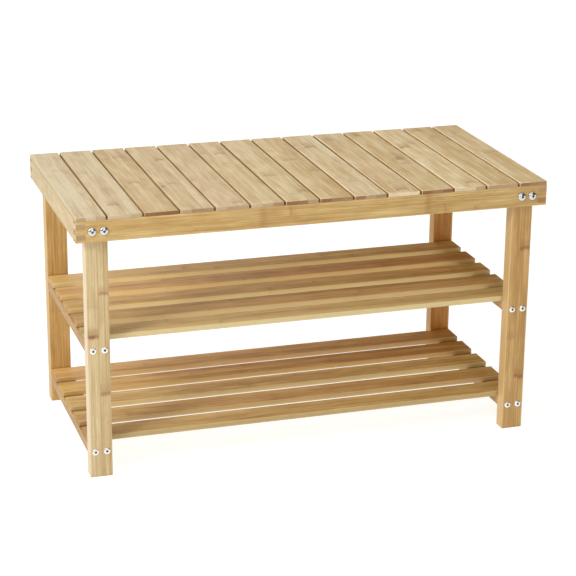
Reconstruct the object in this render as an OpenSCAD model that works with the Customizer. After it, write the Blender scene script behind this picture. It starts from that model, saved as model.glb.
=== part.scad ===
// Two-shelf slatted bamboo bench.
// X runs along the bench, Y from front (-) to back (+), Z up, origin on the floor under the middle.

/* [Bench] */
// Length of the seat
bench_l = 800; // [700:10:1200]
// Depth of the seat, front to back
bench_w = 400; // [300:10:450]
// Height of the seat above the floor
bench_h = 450; // [430:5:520]

/* [Seat frame] */
// Thickness of the frame rails
rail_t = 16; // [14:1:20]
// Height of the frame rails
rail_h = 35; // [32:1:50]

/* [Seat slats] */
// Thickness of a seat slat
seat_slat_t = 7; // [6:0.5:12]
// Gap between two seat slats
seat_gap = 3; // [2:0.5:10]
// Width of the two end slats
end_slat_w = 49; // [40:0.5:60]
// Radius on a seat slat's top edges
seat_slat_r = 2.5; // [0.8:0.1:3]

/* [Legs] */
// Width of a leg along the bench
leg_w = 37; // [34:1:50]
// Thickness of a leg, front to back
leg_t = 24; // [20:1:30]
// Clearance between a leg and the side rail beside it
leg_clear = 1; // [0:0.5:5]
// Radius on a leg's edges
leg_r = 1.6; // [0.5:0.1:3]

/* [Shelves] */
// Height of the upper shelf's top
upper_top = 238; // [200:1:260]
// Height of the lower shelf's top
lower_top = 62; // [50:1:100]
// Thickness of a shelf slat
shelf_slat_t = 9.5; // [6:0.5:12]
// Gap between two shelf slats
shelf_gap = 22.5; // [15:0.5:25]
// Radius on a shelf slat's edges
shelf_slat_r = 1.8; // [0.5:0.1:2.5]
// Height of a shelf rail
shelf_rail_h = 16; // [14:1:30]

/* [Bolts] */
// Distance between the two bolts of a pair
bolt_pitch = 19; // [17:0.5:20]
// Diameter of a seat bolt's head
seat_head_d = 14; // [12:0.5:16]
// Height of a seat bolt's head
seat_head_h = 4.2; // [3:0.1:6]
// Diameter of a shelf bolt's head
shelf_head_d = 11; // [10:0.5:14]
// Height of a shelf bolt's head
shelf_head_h = 1.8; // [1.5:0.1:4]

/* [Hidden] */
SEAT_SLATS = 14;
SHELF_SLATS = 5;
ENDS = [-1, 1];
SHELVES = [["upper", upper_top], ["lower", lower_top]];
CORNERS = [["front_left", -1, -1], ["front_right", 1, -1], ["back_left", -1, 1], ["back_right", 1, 1]];
SIDES = [["left", -1], ["right", 1]];

seat_bottom = bench_h - seat_slat_t;
rail_mid = seat_bottom - rail_h / 2;
rail_r = 1;
finger_h = rail_h / 4;
slat_under_r = 0.6;

seat_slat_w = (bench_l - 2 * end_slat_w - (SEAT_SLATS - 1) * seat_gap) / (SEAT_SLATS - 2);

leg_out = bench_l / 2 - rail_t - leg_clear;
leg_mid = leg_out - leg_w / 2;
leg_front = bench_w / 2 - rail_t;
leg_back = leg_front - leg_t;

shelf_depth = 2 * leg_back;
shelf_slat_w = (shelf_depth - (SHELF_SLATS - 1) * shelf_gap) / SHELF_SLATS;

over = 1; // how far a cutter reaches past the face it cuts

shank_r = 3;
shank_in_insert = 12;
hole_r = 3.3;
socket_d = 4.6;
socket_depth = 2.5;
head_band = 0.2;
insert_r = 4.5;
insert_bore_r = 3.1;
insert_l = 13;
pocket_r = 4.6;
pocket_l = 14;

dowel_r = 2;
dowel_hole_r = 2.1;
dowel_in_rail = 10;
dowel_in_slat = 4;

brad_r = 0.7;
brad_hole_r = 0.8;
brad_head_r = 1.4;
brad_head_h = 0.8;
brad_sink_r = 1.5;
brad_in_slat = 0.6 * shelf_slat_t;

bamboo = "burlywood";
bamboo_dark = "peru";
steel = "silver";

function seat_slat_name(i) = str("seat_slat_", i < 10 ? "0" : "", i);
function leg_name(corner) = str("leg_", corner[0]);
function shelf_rail_name(shelf, side) = str(shelf[0], "_shelf_", side[0], "_rail");
function shelf_slat_name(shelf, k) = str(shelf[0], "_shelf_slat_", k);

// Width and middle of seat slat i, counted from the left end.
function slat_w(i) = i == 1 || i == SEAT_SLATS ? end_slat_w : seat_slat_w;
function slat_x(i) =
    i == 1 ? (end_slat_w - bench_l) / 2
    : i == SEAT_SLATS ? (bench_l - end_slat_w) / 2
    : -bench_l / 2 + end_slat_w + (i - 1) * seat_gap + (i - 1.5) * seat_slat_w;

// Middle of shelf slat k, counted from the front.
function shelf_slat_y(k) = -leg_back + shelf_slat_w / 2 + (k - 1) * (shelf_slat_w + shelf_gap);

// Height of a shelf's bolts, at the middle of its rails.
function shelf_bolt_z(shelf) = shelf[1] - shelf_slat_t - shelf_rail_h / 2;

// Outline of a w by h rectangle, its corners rounded in three short steps: by r above and low_r below.
function soft_outline(w, h, r, low_r) = [
    for (q = [0:3], step = [0:3])
        let (
            a = 90 * q + 30 * step,
            sx = q == 0 || q == 3 ? 1 : -1,
            sy = q < 2 ? 1 : -1,
            corner_r = q < 2 ? r : low_r
        )
        [sx * (w / 2 - corner_r) + corner_r * cos(a), sy * (h / 2 - corner_r) + corner_r * sin(a)]
];

// Bar of size [x, y, z] about the origin, its edges eased by r and those underneath by low_r.
module soft_bar(size, r, low_r) {
    intersection() {
        linear_extrude(height = size[2], center = true)
            polygon(soft_outline(size[0], size[1], r, r));
        rotate([90, 0, 0])
            linear_extrude(height = size[1], center = true)
                polygon(soft_outline(size[0], size[2], r, low_r));
        rotate([90, 0, 90])
            linear_extrude(height = size[0], center = true)
                polygon(soft_outline(size[1], size[2], r, low_r));
    }
}

// Cutter for a round hole that opens at z = 0 and runs depth along +Z.
module bore(r, depth) {
    translate([0, 0, -over])
        cylinder(r = r, h = depth + over, $fn = 32);
}

// Places its children at both bolts of a pair, on the leg that stands at side sx.
module bolt_pair(sx) {
    for (e = ENDS)
        translate([sx * leg_mid + e * bolt_pitch / 2, 0, 0])
            children();
}

// Turns something made along +Z so that it runs from an outer face at y = sy * depth into the bench.
module from_face(sy, depth) {
    translate([0, sy * depth, 0])
        rotate([sy * 90, 0, 0])
            children();
}

// The four rails' outline as one ring, before it is cut into rails.
module frame_ring() {
    translate([0, 0, rail_mid])
        difference() {
            soft_bar([bench_l, bench_w, rail_h], rail_r, rail_r);
            cube([bench_l - 2 * rail_t, bench_w - 2 * rail_t, rail_h + 2 * over], center = true);
        }
}

// The corner blocks' layers that belong to the side rails: two fingers at each end.
module finger_layers() {
    for (sx = ENDS, sy = ENDS, sz = ENDS)
        translate([
            sx * (bench_l - rail_t) / 2,
            sy * (bench_w - rail_t) / 2,
            rail_mid + sz * finger_h
        ])
            cube([rail_t, rail_t, finger_h], center = true);
}

// Front rail for sy = -1, back rail for sy = 1, with its bolt and dowel holes.
module long_rail(sy) {
    color(bamboo)
        difference() {
            intersection() {
                frame_ring();
                translate([0, sy * (bench_w - rail_t) / 2, rail_mid])
                    cube([bench_l, rail_t, rail_h], center = true);
            }
            finger_layers();
            for (sx = ENDS)
                bolt_pair(sx)
                    translate([0, 0, rail_mid])
                        from_face(sy, bench_w / 2)
                            bore(hole_r, rail_t + over);
            for (i = [1:SEAT_SLATS])
                translate([slat_x(i), sy * (bench_w - rail_t) / 2, seat_bottom])
                    mirror([0, 0, 1])
                        bore(dowel_hole_r, dowel_in_rail);
        }
}

// Left rail for sx = -1, right rail for sx = 1.
module side_rail(sx) {
    color(bamboo)
        intersection() {
            frame_ring();
            translate([sx * (bench_l - rail_t) / 2, 0, 0]) {
                translate([0, 0, rail_mid])
                    cube([rail_t, bench_w - 2 * rail_t, rail_h], center = true);
                for (sz = ENDS)
                    translate([0, 0, rail_mid + sz * finger_h])
                        cube([rail_t, bench_w, finger_h], center = true);
            }
        }
}

// Seat slat i, lying front to back, with a blind hole over each long rail.
module seat_slat(i) {
    color(bamboo)
        difference() {
            translate([slat_x(i), 0, bench_h - seat_slat_t / 2])
                soft_bar([slat_w(i), bench_w, seat_slat_t], seat_slat_r, slat_under_r);
            for (sy = ENDS)
                translate([slat_x(i), sy * (bench_w - rail_t) / 2, seat_bottom])
                    bore(dowel_hole_r, dowel_in_slat);
        }
}

// One leg, with pockets for the seat bolts' inserts and through holes for the shelf bolts.
module leg(corner) {
    sx = corner[1];
    sy = corner[2];
    color(bamboo)
        difference() {
            translate([sx * leg_mid, sy * (leg_front - leg_t / 2), seat_bottom / 2])
                soft_bar([leg_w, leg_t, seat_bottom], leg_r, leg_r);
            bolt_pair(sx) {
                translate([0, 0, rail_mid])
                    from_face(sy, leg_front)
                        bore(pocket_r, pocket_l);
                for (shelf = SHELVES)
                    translate([0, 0, shelf_bolt_z(shelf)])
                        from_face(sy, leg_front)
                            bore(hole_r, leg_t + over);
            }
        }
}

// One rail of a shelf, with insert pockets in its ends and nail holes under its slats.
module shelf_rail(shelf, side) {
    sx = side[1];
    rail_z = shelf_bolt_z(shelf);
    color(bamboo_dark)
        difference() {
            translate([sx * leg_mid, 0, rail_z])
                soft_bar([leg_w, shelf_depth, shelf_rail_h], rail_r, rail_r);
            for (sy = ENDS)
                bolt_pair(sx)
                    translate([0, 0, rail_z])
                        from_face(sy, leg_back)
                            bore(pocket_r, pocket_l);
            for (k = [1:SHELF_SLATS])
                nail_pair(sx, k)
                    translate([0, 0, rail_z - shelf_rail_h / 2]) {
                        bore(brad_hole_r, shelf_rail_h + over);
                        bore(brad_sink_r, brad_head_h);
                    }
        }
}

// Places its children at the two nails under shelf slat k, over the rail at side sx.
module nail_pair(sx, k) {
    for (e = ENDS)
        translate([sx * leg_mid, shelf_slat_y(k) + e * shelf_slat_w / 4, 0])
            children();
}

// One slat of a shelf, with blind nail holes in its underside.
module shelf_slat(shelf, k) {
    color(bamboo_dark)
        difference() {
            translate([0, shelf_slat_y(k), shelf[1] - shelf_slat_t / 2])
                soft_bar([2 * leg_out, shelf_slat_w, shelf_slat_t], shelf_slat_r, shelf_slat_r);
            for (sx = ENDS)
                nail_pair(sx, k)
                    translate([0, 0, shelf[1] - shelf_slat_t])
                        bore(brad_hole_r, brad_in_slat);
        }
}

// Socket bolt along +Z, its rounded head's underside at z = 0 and its head below it.
module bolt(head_d, head_h, shank_l) {
    band_h = head_band * head_h;
    difference() {
        union() {
            cylinder(r = shank_r, h = shank_l, $fn = 32);
            rotate_extrude($fn = 48)
                polygon([
                    [0, 0],
                    [head_d / 2, 0],
                    for (a = [0:15:75])
                        [head_d / 2 * cos(a), -band_h - (head_h - band_h) * sin(a)],
                    [0, -head_h]
                ]);
        }
        translate([0, 0, -head_h - over])
            cylinder(d = socket_d, h = socket_depth + over, $fn = 6);
    }
}

// Places a bolt pair's children at every leg, along the bolts' axis, from a face at the given depth.
module at_legs(z, depth) {
    for (sx = ENDS, sy = ENDS)
        bolt_pair(sx)
            translate([0, 0, z])
                from_face(sy, depth)
                    children();
}

module seat_bolts() {
    color(steel)
        at_legs(rail_mid, bench_w / 2)
            bolt(seat_head_d, seat_head_h, rail_t + shank_in_insert);
}

module shelf_bolts(shelf) {
    color(steel)
        at_legs(shelf_bolt_z(shelf), leg_front)
            bolt(shelf_head_d, shelf_head_h, leg_t + shank_in_insert);
}

// Threaded insert along +Z with its mouth at z = 0.
module insert() {
    difference() {
        cylinder(r = insert_r, h = insert_l, $fn = 32);
        bore(insert_bore_r, insert_l + over);
    }
}

module leg_inserts() {
    color(steel)
        at_legs(rail_mid, leg_front)
            insert();
}

module shelf_inserts(shelf) {
    color(steel)
        at_legs(shelf_bolt_z(shelf), leg_back)
            insert();
}

// Blind dowels between the long rails and the seat slats.
module seat_dowels() {
    color(bamboo)
        for (i = [1:SEAT_SLATS], sy = ENDS)
            translate([slat_x(i), sy * (bench_w - rail_t) / 2, seat_bottom - dowel_in_rail])
                cylinder(r = dowel_r, h = dowel_in_rail + dowel_in_slat, $fn = 24);
}

// Nails driven up through a shelf's rails into its slats.
module shelf_brads(shelf) {
    color(steel)
        for (sx = ENDS, k = [1:SHELF_SLATS])
            nail_pair(sx, k)
                translate([0, 0, shelf_bolt_z(shelf) - shelf_rail_h / 2]) {
                    cylinder(r = brad_r, h = shelf_rail_h + brad_in_slat, $fn = 16);
                    cylinder(r = brad_head_r, h = brad_head_h, $fn = 16);
                }
}

long_rail(-1);  // seat_front_rail
long_rail(1);  // seat_back_rail
side_rail(-1);  // seat_left_rail
side_rail(1);  // seat_right_rail
for (i = [1:SEAT_SLATS])
    seat_slat(i);
for (corner = CORNERS)
    leg(corner);
for (shelf = SHELVES) {
    for (side = SIDES)
        shelf_rail(shelf, side);
    for (k = [1:SHELF_SLATS])
        shelf_slat(shelf, k);
    shelf_bolts(shelf);
    shelf_inserts(shelf);
    shelf_brads(shelf);
}
seat_bolts();
leg_inserts();
seat_dowels();
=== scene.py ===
"""Looks of the two-shelf bamboo bench: laminated bamboo on every wooden piece, plated bolts, floor, light
and camera.

X runs along the bench, Y from front to back and Z up, in metres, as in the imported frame.
"""

import math

import bmesh
import bpy
from mathutils import Matrix, Vector


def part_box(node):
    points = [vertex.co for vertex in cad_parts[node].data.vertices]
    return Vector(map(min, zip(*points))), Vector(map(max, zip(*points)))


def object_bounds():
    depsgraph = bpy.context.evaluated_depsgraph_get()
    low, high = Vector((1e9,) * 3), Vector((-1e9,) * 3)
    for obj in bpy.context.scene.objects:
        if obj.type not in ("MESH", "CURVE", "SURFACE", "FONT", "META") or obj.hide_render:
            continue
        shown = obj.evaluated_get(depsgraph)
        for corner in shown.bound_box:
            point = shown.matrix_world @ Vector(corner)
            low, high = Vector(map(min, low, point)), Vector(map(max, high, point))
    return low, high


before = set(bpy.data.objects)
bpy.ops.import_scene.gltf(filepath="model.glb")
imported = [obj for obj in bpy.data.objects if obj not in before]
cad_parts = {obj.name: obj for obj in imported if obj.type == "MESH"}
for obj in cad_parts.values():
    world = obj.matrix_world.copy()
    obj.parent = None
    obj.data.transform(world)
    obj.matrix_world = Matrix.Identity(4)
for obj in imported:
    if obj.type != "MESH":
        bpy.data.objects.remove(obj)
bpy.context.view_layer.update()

MM = 0.001
X, Y, Z = 0, 1, 2


# --- Shader helpers -------------------------------------------------------------------------------


class Shader:
    """A material whose graph is written as calls that take sockets or plain numbers."""

    def __init__(self, name):
        self.mat = bpy.data.materials.new(name)
        self.mat.use_nodes = True
        self.tree = self.mat.node_tree
        self.surface = self.tree.nodes["Principled BSDF"]

    def put(self, socket, value):
        if isinstance(value, bpy.types.NodeSocket):
            self.tree.links.new(value, socket)
        else:
            socket.default_value = value

    def add(self, kind, inputs=None, **settings):
        node = self.tree.nodes.new("ShaderNode" + kind)
        for key, value in settings.items():
            setattr(node, key, value)
        for key, value in (inputs or {}).items():
            self.put(node.inputs[key], value)
        return node

    def math(self, operation, *values, clamp=False):
        inputs = dict(enumerate(values))
        return self.add("Math", inputs, operation=operation, use_clamp=clamp).outputs[0]

    def vector(self, x, y, z):
        return self.add("CombineXYZ", {0: x, 1: y, 2: z}).outputs[0]

    def rise(self, value, low, high):
        """0 below low, 1 above high and a smooth step between; low above high falls instead."""
        inputs = {"Value": value, "From Min": low, "From Max": high}
        return self.add("MapRange", inputs, interpolation_type="SMOOTHSTEP").outputs[0]

    def mix(self, factor, a, b):
        """a where factor is 0 and b where it is 1."""
        return self.add("Mix", {0: factor, 6: a, 7: b}, data_type="RGBA").outputs[2]

    def noise(self, vector, detail):
        inputs = {"Vector": vector, "Scale": 1.0, "Detail": detail}
        return self.add("TexNoise", inputs).outputs[0]

    def luck(self, x, y, z):
        """Three random numbers from 0 to 1 that stay the same inside one cell."""
        cell = self.add("TexWhiteNoise", {"Vector": self.vector(x, y, z)}, noise_dimensions="3D")
        return self.add("SeparateColor", {0: cell.outputs["Color"]}).outputs


def linear(red, green, blue):
    """A shader colour from an sRGB one in 0 to 255."""
    return tuple(((c / 255 + 0.055) / 1.055) ** 2.4 for c in (red, green, blue)) + (1.0,)


def tinted(colour, tint):
    """A colour with its red, green and blue multiplied by the tint's."""
    return tuple(min(1.0, c * t) for c, t in zip(colour, tint)) + (1.0,)


# --- Bamboo ---------------------------------------------------------------------------------------

# Lengths are in millimetres. strip is the width of a laminated strip across the piece and ply its
# depth; node_gap is the distance between two nodes of the cane in one strip; bow is how far a node's
# band bends across its strip, thick half the band's thickness and node_mark its greatest strength.
# streak is the strength of the fibres, long_streak that of the long streaks, strip_tone and cloud the
# spread of tone between and within strips, and side_share how far the two sides across the grain turn
# to the colour side.
SEAT_LOOK = dict(
    strip=18, ply=7, node_gap=230, bow=5.0, thick=5.0, node_mark=0.2, streak=0.2, long_streak=1.8,
    strip_tone=0.45, cloud=1.5, side_share=0.0, light=linear(230, 208, 164), dark=linear(196, 161, 106),
    side=linear(230, 208, 164), node_tint=linear(136, 94, 52), end_tint=linear(128, 78, 40),
)
RAIL_LOOK = dict(
    strip=17.5, ply=16, node_gap=275, bow=1.5, thick=3.0, node_mark=0.4, streak=0.5, long_streak=2.0,
    strip_tone=0.5, cloud=1.1, side_share=0.0, light=linear(222, 191, 131), dark=linear(177, 136, 74),
    side=linear(222, 191, 131), node_tint=linear(138, 88, 40), end_tint=linear(150, 104, 58),
)
LEG_LOOK = dict(
    strip=18.5, ply=24, node_gap=225, bow=0.8, thick=4.0, node_mark=0.15, streak=0.42, long_streak=2.0,
    strip_tone=0.5, cloud=1.0, side_share=0.7, light=linear(224, 204, 154), dark=linear(182, 148, 92),
    side=linear(238, 218, 182), node_tint=linear(140, 82, 36), end_tint=linear(160, 116, 68),
)
SHELF_LOOK = dict(
    strip=15.5, ply=9.5, node_gap=260, bow=1.5, thick=4.0, node_mark=0.28, streak=0.3, long_streak=1.8,
    strip_tone=0.5, cloud=1.2, side_share=0.7, light=linear(228, 194, 136), dark=linear(176, 130, 74),
    side=linear(226, 204, 154), node_tint=linear(116, 70, 32), end_tint=linear(150, 104, 60),
)
PALE = dict(light=linear(232, 212, 164), dark=linear(192, 162, 106))
# HONEY_AND_PAINTED_SHADE and AMBER_AND_PAINTED_SHADE are partly the wood's colour and partly painted shade
# for the legs further from the lamps.
HONEY_AND_PAINTED_SHADE = dict(light=linear(226, 195, 134), dark=linear(180, 138, 76), side=linear(222, 192, 140))
AMBER_AND_PAINTED_SHADE = dict(light=linear(228, 172, 92), dark=linear(176, 116, 50), side=linear(214, 176, 120))
DULL_SIDE = dict(side=linear(192, 162, 120), side_share=0.8)

# What all bamboo shares. The sizes are the length and the width of a mark.
STREAK_SIZE = (140, 2.6)
FIBRE_SIZE = (34, 0.9)
BUNDLE_SIZE = (15, 1.6)
CLOUD_SIZE = (60, 14)
HALO_SHARE = 0.4
SEAM_SHARE = 0.3
EDGE_HIGHLIGHT_SHARE = 0.4
END_SHARE = 0.9
# Painted shade in narrow gaps and corners: how far ambient occlusion looks for them, and the shade's
# colour.
PAINTED_SHADE_REACH = 9
PAINTED_SHADE_COLOUR = linear(144, 84, 30)
BAMBOO_IOR = 1.47

# The nodes seen on each piece: (place along, place across, half width, half thickness, strength).
MARKS = {
    "seat_slat_02": [(-142, -328, 9, 6, 0.55)],
    "seat_slat_03": [(-25, -267, 10, 7, 0.4), (142, -254, 12, 12, 0.3)],
    "seat_slat_04": [(105, -192, 8, 8, 0.5), (-47, -210, 9, 5, 0.3), (-61, -226, 4, 8, 0.65)],
    "seat_slat_05": [(-34, -169, 4, 8, 0.3), (-181, -134, 9, 6, 0.4)],
    "seat_slat_06": [(117, -81, 11, 8, 0.5), (125, -109, 6, 7, 0.35)],
    "seat_slat_07": [(-41, -37, 14, 7, 0.3), (-147, -14, 9, 11, 0.45)],
    "seat_slat_08": [(44, 25, 13, 7, 0.35), (-31, 44, 8, 8, 0.35)],
    "seat_slat_09": [(120, 86, 10, 9, 0.5), (131, 63, 6, 6, 0.25)],
    "seat_slat_10": [(160, 134, 10, 15, 0.3), (-180, 147, 11, 7, 0.5)],
    "seat_slat_11": [(178, 194, 4, 9, 0.5), (3, 212, 7, 13, 0.6), (-31, 212, 9, 6, 0.25)],
    "seat_slat_12": [(73, 248, 10, 7, 0.6), (97, 269, 7, 8, 0.3), (-172, 272, 9, 9, 0.4)],
    "seat_slat_13": [(177, 314, 12, 7, 0.4), (130, 326, 8, 8, 0.2)],
    "seat_slat_14": [(0, 384, 14, 6, 0.25)],
    "seat_front_rail": [(-95, 426, 18, 8, 0.3), (188, 426, 18, 7, 0.35), (271, 412, 4, 3, 0.4)],
    "leg_front_left": [(245, -374, 9, 4.5, 1.0), (316, -354, 9, 3.6, 0.6), (146, -354, 9, 4.5, 0.65)],
    "leg_front_right": [(330, 373, 9, 4.5, 0.8), (97, 373, 9, 5, 0.8), (168, 354, 8, 4, 0.3)],
    "leg_back_right": [(330, 364, 16, 5, 0.5)],
}

# The colour of each piece against its kind's, as factors for red, green and blue. Part of each factor is
# the piece's own colour and part is painted light and shade that makes up for how the lamps fall on it.
TINTS_AND_PAINTED_LIGHT = {
    "seat_slat_01": (0.83, 0.89, 0.99),
    "seat_slat_02": (0.81, 0.85, 0.90),
    "seat_slat_03": (0.86, 0.89, 0.91),
    "seat_slat_04": (0.84, 0.87, 0.89),
    "seat_slat_05": (0.89, 0.93, 1.00),
    "seat_slat_06": (0.92, 0.99, 1.05),
    "seat_slat_07": (0.91, 0.97, 1.02),
    "seat_slat_08": (0.93, 0.97, 0.99),
    "seat_slat_09": (1.01, 1.12, 1.31),
    "seat_slat_10": (0.98, 1.04, 1.17),
    "seat_slat_11": (1.02, 1.11, 1.23),
    "seat_slat_12": (1.10, 1.22, 1.40),
    "seat_slat_13": (1.05, 1.13, 1.27),
    "seat_slat_14": (1.14, 1.30, 1.60),
    "seat_front_rail": (0.96, 1.00, 0.98),
    "seat_left_rail": (0.85, 0.86, 0.88),
    "leg_front_left": (0.96, 0.99, 1.08),
    "leg_front_right": (0.94, 0.92, 0.88),
    "leg_back_left": (0.98, 0.95, 0.89),
    "leg_back_right": (1.10, 1.08, 0.90),
    "upper_shelf_slat_1": (0.94, 1.01, 1.00),
    "upper_shelf_slat_2": (0.88, 0.84, 0.75),
    "upper_shelf_slat_3": (1.10, 1.13, 1.01),
    "upper_shelf_slat_4": (1.14, 1.09, 0.97),
    "upper_shelf_slat_5": (1.15, 1.20, 1.13),
    "lower_shelf_slat_1": (0.91, 0.98, 0.88),
    "lower_shelf_slat_2": (0.99, 1.02, 0.90),
    "lower_shelf_slat_3": (1.20, 1.38, 1.31),
    "lower_shelf_slat_4": (1.12, 1.12, 0.88),
    "lower_shelf_slat_5": (1.14, 1.15, 1.05),
}


def cells(s, position, low, high, size):
    """Splits a span into equal cells near size and gives the cell's number and the place in it, 0 to 1."""
    count = max(1, round((high - low) / size))
    inset = 0.002
    step = (count - inset) / (high - low)
    scaled = s.math("MULTIPLY_ADD", position, step, inset / 2 - low * step)
    return s.math("FLOOR", scaled), s.math("FRACT", scaled), (high - low) / count


def edge_nearness(s, place, low, high):
    """1 on the piece's outer edges, fading to 0 over a few millimetres."""
    gaps = []
    for axis in (X, Y, Z):
        below = s.math("SUBTRACT", place[axis], low[axis])
        above = s.math("SUBTRACT", high[axis], place[axis])
        gaps.append(s.math("MINIMUM", below, above))
    nearer = s.math("MINIMUM", gaps[0], gaps[1])
    farther = s.math("MAXIMUM", gaps[0], gaps[1])
    second = s.math("MAXIMUM", nearer, s.math("MINIMUM", farther, gaps[2]))
    return s.rise(second, 2.4, 0.5)


def node_band(s, offset, thick):
    """The dark core of a cane's node and the warm halo on one side of it."""
    core = s.rise(s.math("ABSOLUTE", offset), 1.15 * thick, 0.25 * thick)
    off_centre = s.math("SUBTRACT", offset, 1.2 * thick)
    halo = s.rise(s.math("ABSOLUTE", off_centre), 3.2 * thick, 0.6 * thick)
    return core, halo


def bamboo(node, grain, across, look, seed, tone=0.0, end_shade=0.75, painted_falloff=0.0, painted_shade_share=0.6):
    """The bamboo of one CAD node.

    grain is the axis its fibres follow and across the axis its strips lie side by side. seed picks its
    pattern. tone makes the whole piece darker, end_shade browns its end grain, drift is painted shade that
    makes it darker at the grain axis's high end than at its low one, and painted_shade_share is how brown
    painted shade turns it inside narrow gaps.
    """
    s = Shader("bamboo_" + node)
    # The tint holds painted light and shade as well as the piece's own colour.
    tint = TINTS_AND_PAINTED_LIGHT.get(node, (1.0, 1.0, 1.0))
    keys = ("light", "dark", "side", "end_tint")
    light, dark, side, end_tint = (tinted(look[key], tint) for key in keys)
    low, high = (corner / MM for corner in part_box(node))
    depth = X + Y + Z - grain - across
    coordinates = s.add("TexCoord").outputs["Object"]
    xyz = s.add("SeparateXYZ", {0: coordinates}).outputs
    place = [s.math("MULTIPLY", axis, 1 / MM) for axis in xyz]
    u, v, w = place[grain], place[across], place[depth]

    strip, in_strip, strip_w = cells(s, v, low[across], high[across], look["strip"])
    ply, _, _ = cells(s, w, low[depth], high[depth], look["ply"])
    strip_luck = s.luck(strip, ply, seed)
    middle = s.math("SUBTRACT", in_strip, 0.5)

    # Fibres: long soft streaks, fine fibres and short dark bundles, all cut at the strips' joints.
    along = s.math("MULTIPLY_ADD", strip_luck[1], 900, u)
    aside = s.math("MULTIPLY_ADD", strip_luck[2], 70, w)

    def fibre_noise(size, detail):
        length, width = size
        return s.noise(
            s.vector(
                s.math("MULTIPLY", along, 1 / length),
                s.math("MULTIPLY", v, 1 / width),
                s.math("MULTIPLY", aside, 1 / width),
            ),
            detail=detail,
        )

    streaks = fibre_noise(STREAK_SIZE, 3.0)
    fibres = fibre_noise(FIBRE_SIZE, 2.0)
    bundle = s.rise(fibre_noise(BUNDLE_SIZE, 1.0), 0.58, 0.74)
    clouds = fibre_noise(CLOUD_SIZE, 2.0)

    # Nodes: every strip has its own at regular gaps, and the marked ones are where they were seen.
    ragged = s.math("MULTIPLY_ADD", s.math("SUBTRACT", fibres, 0.5), 7.0, u)
    ragged = s.math("MULTIPLY_ADD", s.math("SUBTRACT", clouds, 0.5), 9.0, ragged)
    run = s.math("MULTIPLY_ADD", ragged, 1 / look["node_gap"], strip_luck[0])
    node_luck = s.luck(strip, s.math("FLOOR", run), seed + 0.71)
    straight = s.math("MULTIPLY", s.math("SUBTRACT", s.math("FRACT", run), 0.5), look["node_gap"])
    offset = s.math("MULTIPLY_ADD", s.math("MULTIPLY", middle, middle), 4 * look["bow"], straight)
    core, halo = node_band(s, offset, look["thick"])
    force = s.math("MULTIPLY", node_luck[0], look["node_mark"])
    core = s.math("MULTIPLY", core, force)
    halo = s.math("MULTIPLY", halo, force)
    for at_u, at_v, half_width, thick, strength in MARKS.get(node, ()):
        sideward = s.math("SUBTRACT", v, at_v)
        curve = s.math("MULTIPLY", s.math("MULTIPLY", sideward, sideward), look["bow"] / half_width ** 2)
        offset = s.math("SUBTRACT", s.math("ADD", ragged, curve), at_u)
        marked, around = node_band(s, offset, thick)
        inside = s.rise(s.math("ABSOLUTE", sideward), half_width + 2.5, half_width - 2.5)
        inside = s.math("MULTIPLY", inside, strength)
        core = s.math("MULTIPLY_ADD", marked, inside, core)
        halo = s.math("MULTIPLY_ADD", around, inside, halo)
    patchy = s.math("MULTIPLY_ADD", s.rise(fibres, 0.3, 0.7), 0.5, 0.5)
    core = s.math("MULTIPLY", core, patchy, clamp=True)

    # Colour between light and dark.
    amount = s.math("MULTIPLY_ADD", s.math("SUBTRACT", strip_luck[0], 0.5), look["strip_tone"], 0.5 + tone)
    # Painted shade: drift darkens the piece towards the grain axis's high end.
    along_piece = s.math("SUBTRACT", u, float(low[grain] + high[grain]) / 2)
    amount = s.math("MULTIPLY_ADD", along_piece, painted_falloff / float(high[grain] - low[grain]), amount)
    amount = s.math("MULTIPLY_ADD", s.math("SUBTRACT", streaks, 0.5), look["long_streak"], amount)
    amount = s.math("MULTIPLY_ADD", s.math("SUBTRACT", clouds, 0.5), look["cloud"], amount, clamp=True)
    colour = s.mix(amount, light, dark)
    fibre_shade = s.math("MULTIPLY", s.rise(fibres, 0.35, 0.75), look["streak"])
    colour = s.mix(fibre_shade, colour, dark)
    colour = s.mix(s.math("MULTIPLY", bundle, look["streak"] * 0.45), colour, look["node_tint"])
    colour = s.mix(s.math("MULTIPLY", halo, HALO_SHARE), colour, look["node_tint"])
    colour = s.mix(core, colour, look["node_tint"])
    seam_gap = s.math("MULTIPLY", s.math("SUBTRACT", 0.5, s.math("ABSOLUTE", middle)), strip_w)
    seam = s.rise(seam_gap, 0.5, 0.05)
    colour = s.mix(s.math("MULTIPLY", seam, SEAM_SHARE), colour, look["node_tint"])

    # The sides' own colour, and a painted highlight on the eased edges.
    normal = s.add("NewGeometry").outputs["Normal"]
    facing = s.add("SeparateXYZ", {0: normal}).outputs
    sideways = s.rise(s.math("ABSOLUTE", facing[across]), 0.6, 0.9)
    colour = s.mix(s.math("MULTIPLY", sideways, look["side_share"]), colour, side)
    edge = edge_nearness(s, place, low, high)
    colour = s.mix(s.math("MULTIPLY", edge, EDGE_HIGHLIGHT_SHARE), colour, light)

    # End grain where the surface faces along the fibres.
    end = s.rise(s.math("ABSOLUTE", facing[grain]), 0.6, 0.9)
    pores = s.add("TexVoronoi", {"Vector": s.vector(v, w, seed), "Scale": 1.1}).outputs["Distance"]
    end_amount = s.math("MULTIPLY_ADD", s.math("SUBTRACT", strip_luck[1], 0.5), 0.4, end_shade, clamp=True)
    end_colour = s.mix(end_amount, light, end_tint)
    end_colour = s.mix(s.math("MULTIPLY", s.rise(pores, 0.4, 0.12), 0.35), end_colour, look["node_tint"])
    colour = s.mix(s.math("MULTIPLY", end, END_SHARE), colour, end_colour)

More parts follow.
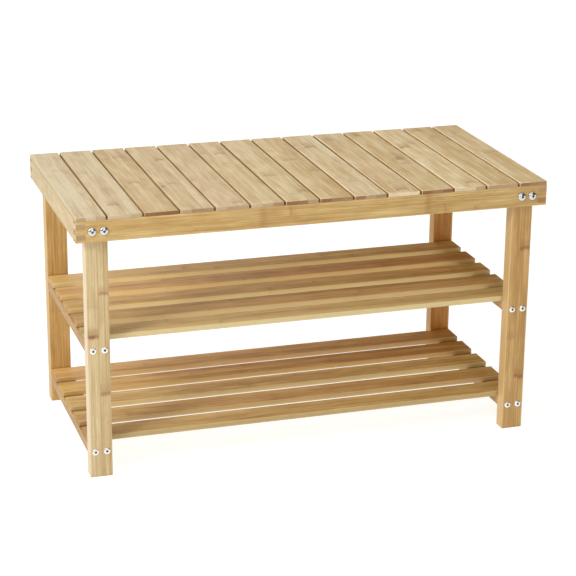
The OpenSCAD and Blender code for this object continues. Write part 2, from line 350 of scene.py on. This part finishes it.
    # Painted shade: narrow gaps and corners, found by ambient occlusion, are browner.
    open_air = s.add("AmbientOcclusion", {"Distance": PAINTED_SHADE_REACH * MM}, samples=4).outputs["AO"]
    painted_shade = s.rise(open_air, 0.8, 0.15)
    colour = s.mix(s.math("MULTIPLY", painted_shade, painted_shade_share), colour, PAINTED_SHADE_COLOUR)

    # Relief and gloss; the sawn faces inside the gaps are dull.
    relief = s.math("MULTIPLY_ADD", fibres, 0.35, s.math("MULTIPLY", streaks, 0.4))
    relief = s.math("MULTIPLY_ADD", core, 0.6, relief)
    relief = s.math("MULTIPLY_ADD", seam, -0.5, relief)
    bump = s.add("Bump", {"Height": relief, "Strength": 0.35, "Distance": 0.25 * MM})
    gloss = s.math("MULTIPLY_ADD", fibres, 0.16, 0.4)
    gloss = s.math("MULTIPLY_ADD", s.math("MAXIMUM", end, edge), 0.25, gloss)

    s.put(s.surface.inputs["Base Color"], colour)
    s.put(s.surface.inputs["Roughness"], gloss)
    s.put(s.surface.inputs["Normal"], bump.outputs[0])
    s.put(s.surface.inputs["IOR"], BAMBOO_IOR)
    s.put(s.surface.inputs["Specular IOR Level"], s.math("MULTIPLY_ADD", painted_shade, -0.45, 0.5))
    return s.mat


# --- Metal ----------------------------------------------------------------------------------------

# Millimetres, and the painted shade of a socket's bottom.
SOCKET_REACH = 4
SOCKET_PAINTED_SHADE = (0.01, 0.01, 0.012, 1.0)


def plated_metal(name, tint, roughness):
    """Plated steel with fine grit and smudges, and painted shade that darkens its sockets."""
    s = Shader(name)
    coordinates = s.add("TexCoord").outputs["Object"]
    xyz = s.add("SeparateXYZ", {0: coordinates}).outputs
    place = [s.math("MULTIPLY", axis, 1 / MM) for axis in xyz]
    smudge = s.noise(s.vector(*[s.math("MULTIPLY", p, 0.35) for p in place]), detail=3.0)
    grit = s.noise(s.vector(*[s.math("MULTIPLY", p, 3.0) for p in place]), detail=2.0)
    dull = tinted(tint, (0.7, 0.7, 0.7))
    colour = s.mix(s.math("MULTIPLY", s.rise(smudge, 0.4, 0.75), 0.6), tint, dull)
    # Painted shade: the socket's bottom turns dark where ambient occlusion finds it shut in.
    open_air = s.add("AmbientOcclusion", {"Distance": SOCKET_REACH * MM}, samples=4).outputs["AO"]
    colour = s.mix(s.rise(open_air, 0.75, 0.35), colour, SOCKET_PAINTED_SHADE)
    s.put(s.surface.inputs["Base Color"], colour)
    s.put(s.surface.inputs["Metallic"], 1.0)
    s.put(s.surface.inputs["Roughness"], s.math("MULTIPLY_ADD", smudge, 0.14, roughness))
    bump = s.add("Bump", {"Height": grit, "Strength": 0.2, "Distance": 0.05 * MM})
    s.put(s.surface.inputs["Normal"], bump.outputs[0])
    return s.mat


# --- Dress the CAD nodes --------------------------------------------------------------------------

WELD_REACH = 0.01 * MM
SHARP_ANGLE = math.radians(40)


def dress(node, material):
    """Gives a CAD node its material, and shades its eased edges as round."""
    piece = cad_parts[node]
    piece.data.materials.clear()
    piece.data.materials.append(material)
    piece.data.polygons.foreach_set("use_smooth", [True] * len(piece.data.polygons))
    weld = piece.modifiers.new("weld", "WELD")
    weld.merge_threshold = WELD_REACH
    split = piece.modifiers.new("sharp edges", "EDGE_SPLIT")
    split.split_angle = SHARP_ANGLE
    normals = piece.modifiers.new("normals", "WEIGHTED_NORMAL")
    normals.weight = 100


# How much darker each seat slat is than its neighbours, how brown its end grain and how brown the painted
# shade in the gap on its left is, from the left.
SEAT_TONES = [-0.22, -0.2, 0.02, -0.05, -0.05, 0.0, -0.02, 0.12, -0.1, 0.12, 0.12, -0.12, 0.2, 0.2]
SEAT_ENDS = [0.35, 0.4, 0.95, 0.65, 0.55, 0.6, 0.8, 0.9, 0.8, 0.1, 1.0, 0.5, 0.85, 0.95]
SEAT_PAINTED_SHADES = [0.5, 0.35, 0.25, 0.4, 0.45, 0.45, 0.95, 0.95, 0.9, 0.8, 1.0, 0.85, 1.0, 1.0]

seat_shades = zip(SEAT_TONES, SEAT_ENDS, SEAT_PAINTED_SHADES)
for number, (tone, end_shade, painted_shade_share) in enumerate(seat_shades, start=1):
    node = f"seat_slat_{number:02d}"
    slat = bamboo(node, Y, X, SEAT_LOOK, 10 + number, tone, end_shade, painted_shade_share=painted_shade_share)
    dress(node, slat)

for number, node in enumerate(("seat_front_rail", "seat_back_rail")):
    dress(node, bamboo(node, X, Z, RAIL_LOOK, 41 + number))
for number, node in enumerate(("seat_left_rail", "seat_right_rail")):
    dress(node, bamboo(node, Y, Z, {**RAIL_LOOK, **PALE}, 51 + number))

# The right and back legs take darker looks that are partly painted shade.
leg_looks = {
    "leg_front_left": LEG_LOOK,
    "leg_front_right": {**LEG_LOOK, **HONEY_AND_PAINTED_SHADE},
    "leg_back_left": {**LEG_LOOK, **HONEY_AND_PAINTED_SHADE},
    "leg_back_right": {**LEG_LOOK, **AMBER_AND_PAINTED_SHADE},
}
for number, (node, look) in enumerate(leg_looks.items()):
    dress(node, bamboo(node, Z, X, look, 61 + number))

# How much darker each shelf slat is, from the front, partly painted light and shade that makes up for how
# the lamps fall, and how much painted shade darkens it from left to right.
SHELF_TONES = {
    "upper_shelf": [-0.35, -0.2, 0.0, -0.05, -0.2],
    "lower_shelf": [-0.08, 0.05, 0.05, 0.15, 0.1],
}
SHELF_PAINTED_FALLOFFS = [0.15, 0.25, 0.15, 0.75, 0.85]

shelf_looks = {"upper_shelf": SHELF_LOOK, "lower_shelf": {**SHELF_LOOK, **DULL_SIDE}}
for start, shelf in ((71, "upper_shelf"), (91, "lower_shelf")):
    for number, side in enumerate(("left", "right")):
        node = f"{shelf}_{side}_rail"
        dress(node, bamboo(node, Y, X, RAIL_LOOK, start + number))
    for number, (tone, painted_falloff) in enumerate(zip(SHELF_TONES[shelf], SHELF_PAINTED_FALLOFFS), start=1):
        node = f"{shelf}_slat_{number}"
        dress(node, bamboo(node, X, Y, shelf_looks[shelf], start + 3 + number, tone, painted_falloff=painted_falloff))

nickel = plated_metal("bright_nickel", (0.68, 0.69, 0.71, 1.0), 0.14)
zinc = plated_metal("zinc_plate", (0.93, 0.92, 0.89, 1.0), 0.3)
dress("seat_bolts", nickel)
dress("leg_inserts", zinc)
for shelf in ("upper_shelf", "lower_shelf"):
    for hardware in ("bolts", "inserts", "brads"):
        dress(f"{shelf}_{hardware}", zinc)
dress("seat_dowels", bamboo("seat_dowels", Z, X, RAIL_LOOK, 5))


# --- Floor, light and camera ----------------------------------------------------------------------

FLOOR_RADIUS = 14.0


def pale_floor():
    """A large pale floor that the feet stand on; it glows, a little brighter away from the bench, and
    lights the bench from below.
    """
    outline = bmesh.new()
    bmesh.ops.create_circle(outline, cap_ends=True, segments=96, radius=FLOOR_RADIUS)
    mesh = bpy.data.meshes.new("floor")
    outline.to_mesh(mesh)
    outline.free()
    floor = bpy.data.objects.new("floor", mesh)
    bpy.context.scene.collection.objects.link(floor)
    s = Shader("pale_floor")
    coordinates = s.add("TexCoord").outputs["Object"]
    mottle = s.noise(coordinates, detail=3.0)
    s.put(s.surface.inputs["Base Color"], s.mix(mottle, (0.33, 0.33, 0.33, 1.0), (0.36, 0.36, 0.36, 1.0)))
    s.put(s.surface.inputs["Roughness"], 0.9)
    s.put(s.surface.inputs["Specular IOR Level"], 0.1)
    # The floor glows, which lights the bench from below.
    s.put(s.surface.inputs["Emission Color"], (1.0, 1.0, 1.0, 1.0))
    far = s.add("VectorMath", {0: coordinates}, operation="LENGTH").outputs["Value"]
    glow = s.math("MULTIPLY_ADD", s.rise(far, 1.5, 4.0), 0.15, 0.85)
    s.put(s.surface.inputs["Emission Strength"], glow)
    mesh.materials.append(s.mat)


def soft_light(name, azimuth, elevation, distance, width, height, power):
    """An area light that faces the bench. Azimuth 0 is in front, and 90 to the right."""
    light = bpy.data.lights.new(name, "AREA")
    light.shape = "RECTANGLE"
    light.size = width
    light.size_y = height
    light.energy = power
    lamp = bpy.data.objects.new(name, light)
    bpy.context.scene.collection.objects.link(lamp)
    a, e = math.radians(azimuth), math.radians(elevation)
    toward = Vector((math.sin(a) * math.cos(e), -math.cos(a) * math.cos(e), math.sin(e)))
    lamp.location = BENCH_MIDDLE + distance * toward
    lamp.rotation_euler = toward.to_track_quat("Z", "Y").to_euler()


def camera(aim, azimuth, elevation, roll, distance, lens):
    """A camera at azimuth, elevation and distance from aim; azimuth 0 looks along +Y."""
    shot = bpy.data.objects.new("camera", bpy.data.cameras.new("camera"))
    bpy.context.scene.collection.objects.link(shot)
    turn = (
        Matrix.Rotation(math.radians(azimuth), 3, "Z")
        @ Matrix.Rotation(math.radians(90 - elevation), 3, "X")
        @ Matrix.Rotation(math.radians(roll), 3, "Z")
    )
    shot.rotation_euler = turn.to_euler()
    shot.location = Vector(aim) + distance * turn.col[2]
    shot.data.sensor_width = 36.0
    shot.data.lens = lens
    bpy.context.scene.camera = shot


def studio():
    """Surroundings that fill the shade with a little warm light, and look as pale as the floor."""
    world = bpy.data.worlds.new("studio")
    world.use_nodes = True
    bpy.context.scene.world = world
    tree = world.node_tree
    fill = tree.nodes["Background"]
    fill.inputs["Color"].default_value = (1.0, 0.67, 0.33, 1.0)
    fill.inputs["Strength"].default_value = 0.12
    pale = tree.nodes.new("ShaderNodeBackground")
    pale.inputs["Color"].default_value = (1.0, 1.0, 1.0, 1.0)
    seen = tree.nodes.new("ShaderNodeLightPath").outputs["Is Camera Ray"]
    blend = tree.nodes.new("ShaderNodeMixShader")
    tree.links.new(seen, blend.inputs[0])
    tree.links.new(fill.outputs[0], blend.inputs[1])
    tree.links.new(pale.outputs[0], blend.inputs[2])
    tree.links.new(blend.outputs[0], tree.nodes["World Output"].inputs["Surface"])


low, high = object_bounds()
BENCH_MIDDLE = (low + high) / 2
pale_floor()
soft_light("key", azimuth=-58, elevation=46, distance=2.8, width=1.4, height=1.4, power=17)
soft_light("low key", azimuth=-58, elevation=30, distance=2.8, width=0.6, height=0.6, power=26)
soft_light("top", azimuth=0, elevation=89, distance=2.6, width=2.2, height=2.2, power=33)
soft_light("left wall", azimuth=-95, elevation=16, distance=2.8, width=3.6, height=1.4, power=10)
soft_light("front", azimuth=0, elevation=30, distance=2.8, width=1.6, height=1.6, power=9)
soft_light("low front", azimuth=0, elevation=14, distance=2.8, width=1.2, height=1.2, power=5)
soft_light("back", azimuth=180, elevation=30, distance=2.8, width=1.8, height=1.8, power=11)
studio()

bpy.context.scene.view_settings.view_transform = "Standard"
camera(
    aim=(0.0103, -0.001, 0.2313),
    azimuth=-17.58,
    elevation=18.93,
    roll=0.54,
    distance=3.2955,
    lens=118.07,
)
